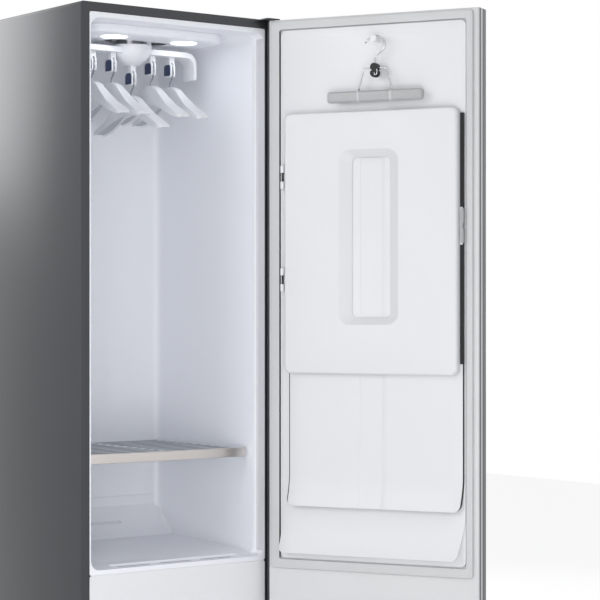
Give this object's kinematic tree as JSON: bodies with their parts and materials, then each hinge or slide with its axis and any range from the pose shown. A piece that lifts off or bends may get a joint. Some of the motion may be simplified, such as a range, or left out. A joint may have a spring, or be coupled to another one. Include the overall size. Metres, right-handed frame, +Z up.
{
  "type": "clothes care steam cabinet",
  "caption": "Tall clothes care cabinet with a shaking hanger bar, sliding shelf, pull-out water tanks and a hinged door that carries a trouser press.",
  "frame": {"origin": "middle of the base pan's underside, in the plane where the case's lower edges end; the feet reach 12 mm lower", "axes": "+Z up; the open front looks along -Y; +X towards the door's hinge side"},
  "size_m": [0.895, 1.0609, 1.96],
  "materials": {
    "charcoal_sheet": "satin metallic paint",
    "galvanised_sheet": "matte zinc",
    "white_liner": "satin, faintly blue",
    "white_moulding": "satin",
    "pale_panel": "satin",
    "foam": "matte foam",
    "champagne_trim": "anodised",
    "chrome_wire": "polished",
    "black_plastic": "satin",
    "grey_plastic": "satin",
    "gasket_rubber": "soft",
    "lamp_lens": "frosted",
    "dark_glass": "gloss, backed in black",
    "tank_plastic": "translucent",
    "black_steel": "satin",
    "fin_aluminium": "bare"
  },
  "bodies": {
    "cabinet": {"outer_case": "charcoal_sheet", "base_pan": "galvanised_sheet", "rear_glide": "black_plastic", "back_panel": "galvanised_sheet", "inner_liner": "white_liner", "foam_jacket": "foam", "rear_duct_cover": "white_liner", "ceiling_housing": "white_liner", "lamp_left": "lamp_lens", "lamp_right": "lamp_lens", "guide_frame": "chrome_wire", "hanger_motor": "galvanised_sheet", "shelf_rail_left": "white_liner", "shelf_rail_right": "white_liner", "lower_fascia": "white_moulding", "tank_cradle": "grey_plastic", "unit_deck": "galvanised_sheet", "fan_scroll": "black_plastic", "compressor": "black_steel", "heat_exchanger": "fin_aluminium", "steam_generator": "galvanised_sheet", "control_box": "grey_plastic", "lower_hinge_bracket": "charcoal_sheet", "upper_hinge_bracket": "charcoal_sheet"},
    "left_foot": {"front_foot_left": "black_plastic"},
    "right_foot": {"front_foot_right": "black_plastic"},
    "crank": {"crank_disc": "galvanised_sheet"},
    "shaking_bar": {"hanger_bar": "white_moulding"},
    "hanger_1": {"hanger_hook_1": "chrome_wire", "garment_hanger_1": "white_moulding"},
    "hanger_2": {"hanger_hook_2": "chrome_wire", "garment_hanger_2": "white_moulding"},
    "hanger_3": {"hanger_hook_3": "chrome_wire", "garment_hanger_3": "white_moulding"},
    "hanger_4": {"hanger_hook_4": "chrome_wire", "garment_hanger_4": "white_moulding"},
    "hanger_5": {"hanger_hook_5": "chrome_wire", "garment_hanger_5": "white_moulding"},
    "shelf": {"shelf_tray": "pale_panel", "shelf_front_trim": "champagne_trim"},
    "fresh_tank": {"fresh_water_tank": "tank_plastic", "fresh_tank_lid": "white_moulding"},
    "waste_tank": {"drain_tank": "tank_plastic", "drain_tank_lid": "grey_plastic"},
    "filter": {"lint_filter": "white_liner"},
    "fan_wheel": {"fan_impeller": "grey_plastic"},
    "door": {"door_shell": "charcoal_sheet", "door_glass": "dark_glass", "door_liner": "white_moulding", "door_gasket": "gasket_rubber", "rear_press_sheet": "pale_panel", "front_press_sheet": "pale_panel", "panel_hinge_upper": "white_moulding", "panel_hinge_lower": "white_moulding"},
    "panel": {"press_panel": "pale_panel"},
    "latch": {"panel_latch": "grey_plastic"},
    "trouser_clamp": {"trouser_hook_wire": "chrome_wire", "trouser_rear_jaw": "grey_plastic"},
    "front_jaw": {"trouser_front_jaw": "grey_plastic"},
    "clamp_lock": {"trouser_lock": "black_plastic"}
  },
  "joints": [
    {"name": "door_hinge", "type": "hinge", "parent": "cabinet", "child": "door", "pos_m": [0.2835, -0.284, 0.982], "axis": [0, 0, 1], "range_deg": [-118.2, 0]},
    {"name": "left_foot_screw", "type": "hinge", "parent": "cabinet", "child": "left_foot", "pos_m": [-0.2515, -0.214, 0], "axis": [0, 0, 1], "continuous": true},
    {"name": "right_foot_screw", "type": "hinge", "parent": "cabinet", "child": "right_foot", "pos_m": [0.2515, -0.214, 0], "axis": [0, 0, 1], "continuous": true},
    {"name": "crank_spin", "type": "hinge", "parent": "cabinet", "child": "crank", "pos_m": [0, -0.024, 1.88], "axis": [0, 0, 1], "continuous": true},
    {"name": "bar_shake", "type": "slide", "parent": "cabinet", "child": "shaking_bar", "axis": [1, 0, 0], "range_m": [-0.012, 0.012]},
    {"name": "hanger_1_swing", "type": "hinge", "parent": "shaking_bar", "child": "hanger_1", "pos_m": [-0.124, -0.024, 1.83], "axis": [1, 0, 0], "range_deg": [-6, 6]},
    {"name": "hanger_2_swing", "type": "hinge", "parent": "shaking_bar", "child": "hanger_2", "pos_m": [-0.062, -0.024, 1.83], "axis": [1, 0, 0], "range_deg": [-6, 6]},
    {"name": "hanger_3_swing", "type": "hinge", "parent": "shaking_bar", "child": "hanger_3", "pos_m": [0, -0.024, 1.799], "axis": [1, 0, 0], "range_deg": [-6, 6]},
    {"name": "hanger_4_swing", "type": "hinge", "parent": "shaking_bar", "child": "hanger_4", "pos_m": [0.062, -0.024, 1.83], "axis": [1, 0, 0], "range_deg": [-6, 6]},
    {"name": "hanger_5_swing", "type": "hinge", "parent": "shaking_bar", "child": "hanger_5", "pos_m": [0.124, -0.024, 1.83], "axis": [1, 0, 0], "range_deg": [-6, 6]},
    {"name": "shelf_slide", "type": "slide", "parent": "cabinet", "child": "shelf", "axis": [0, -1, 0], "range_m": [0, 0.3]},
    {"name": "fresh_tank_slide", "type": "slide", "parent": "cabinet", "child": "fresh_tank", "axis": [0, -1, 0], "range_m": [0, 0.25]},
    {"name": "waste_tank_slide", "type": "slide", "parent": "cabinet", "child": "waste_tank", "axis": [0, -1, 0], "range_m": [0, 0.25]},
    {"name": "filter_lift", "type": "slide", "parent": "cabinet", "child": "filter", "axis": [0, 0, 1], "range_m": [0, 0.08]},
    {"name": "fan_spin", "type": "hinge", "parent": "cabinet", "child": "fan_wheel", "pos_m": [-0.14, 0.132, 0.33], "axis": [0, 0, 1], "continuous": true},
    {"name": "panel_hinge", "type": "hinge", "parent": "door", "child": "panel", "pos_m": [0.27411, -0.33442, 1.35], "axis": [0, 0, -1], "range_deg": [0, 95]},
    {"name": "latch_slide", "type": "slide", "parent": "door", "child": "latch", "axis": [0.4725, -0.8813, 0], "range_m": [0, 0.003], "stiffness_N_per_m": 400, "springref_m": -0.002},
    {"name": "clamp_swing", "type": "hinge", "parent": "door", "child": "trouser_clamp", "pos_m": [0.38945, -0.57895, 1.873], "axis": [-0.8813, -0.4725, 0], "range_deg": [-6, 6]},
    {"name": "front_jaw_hinge", "type": "hinge", "parent": "trouser_clamp", "child": "front_jaw", "pos_m": [0.38901, -0.57918, 1.741], "axis": [-0.4725, 0.8813, 0], "range_deg": [0, 10]},
    {"name": "clamp_lock_slide", "type": "slide", "parent": "trouser_clamp", "child": "clamp_lock", "axis": [0, 0, 1], "range_m": [0, 0.012]}
  ]
}
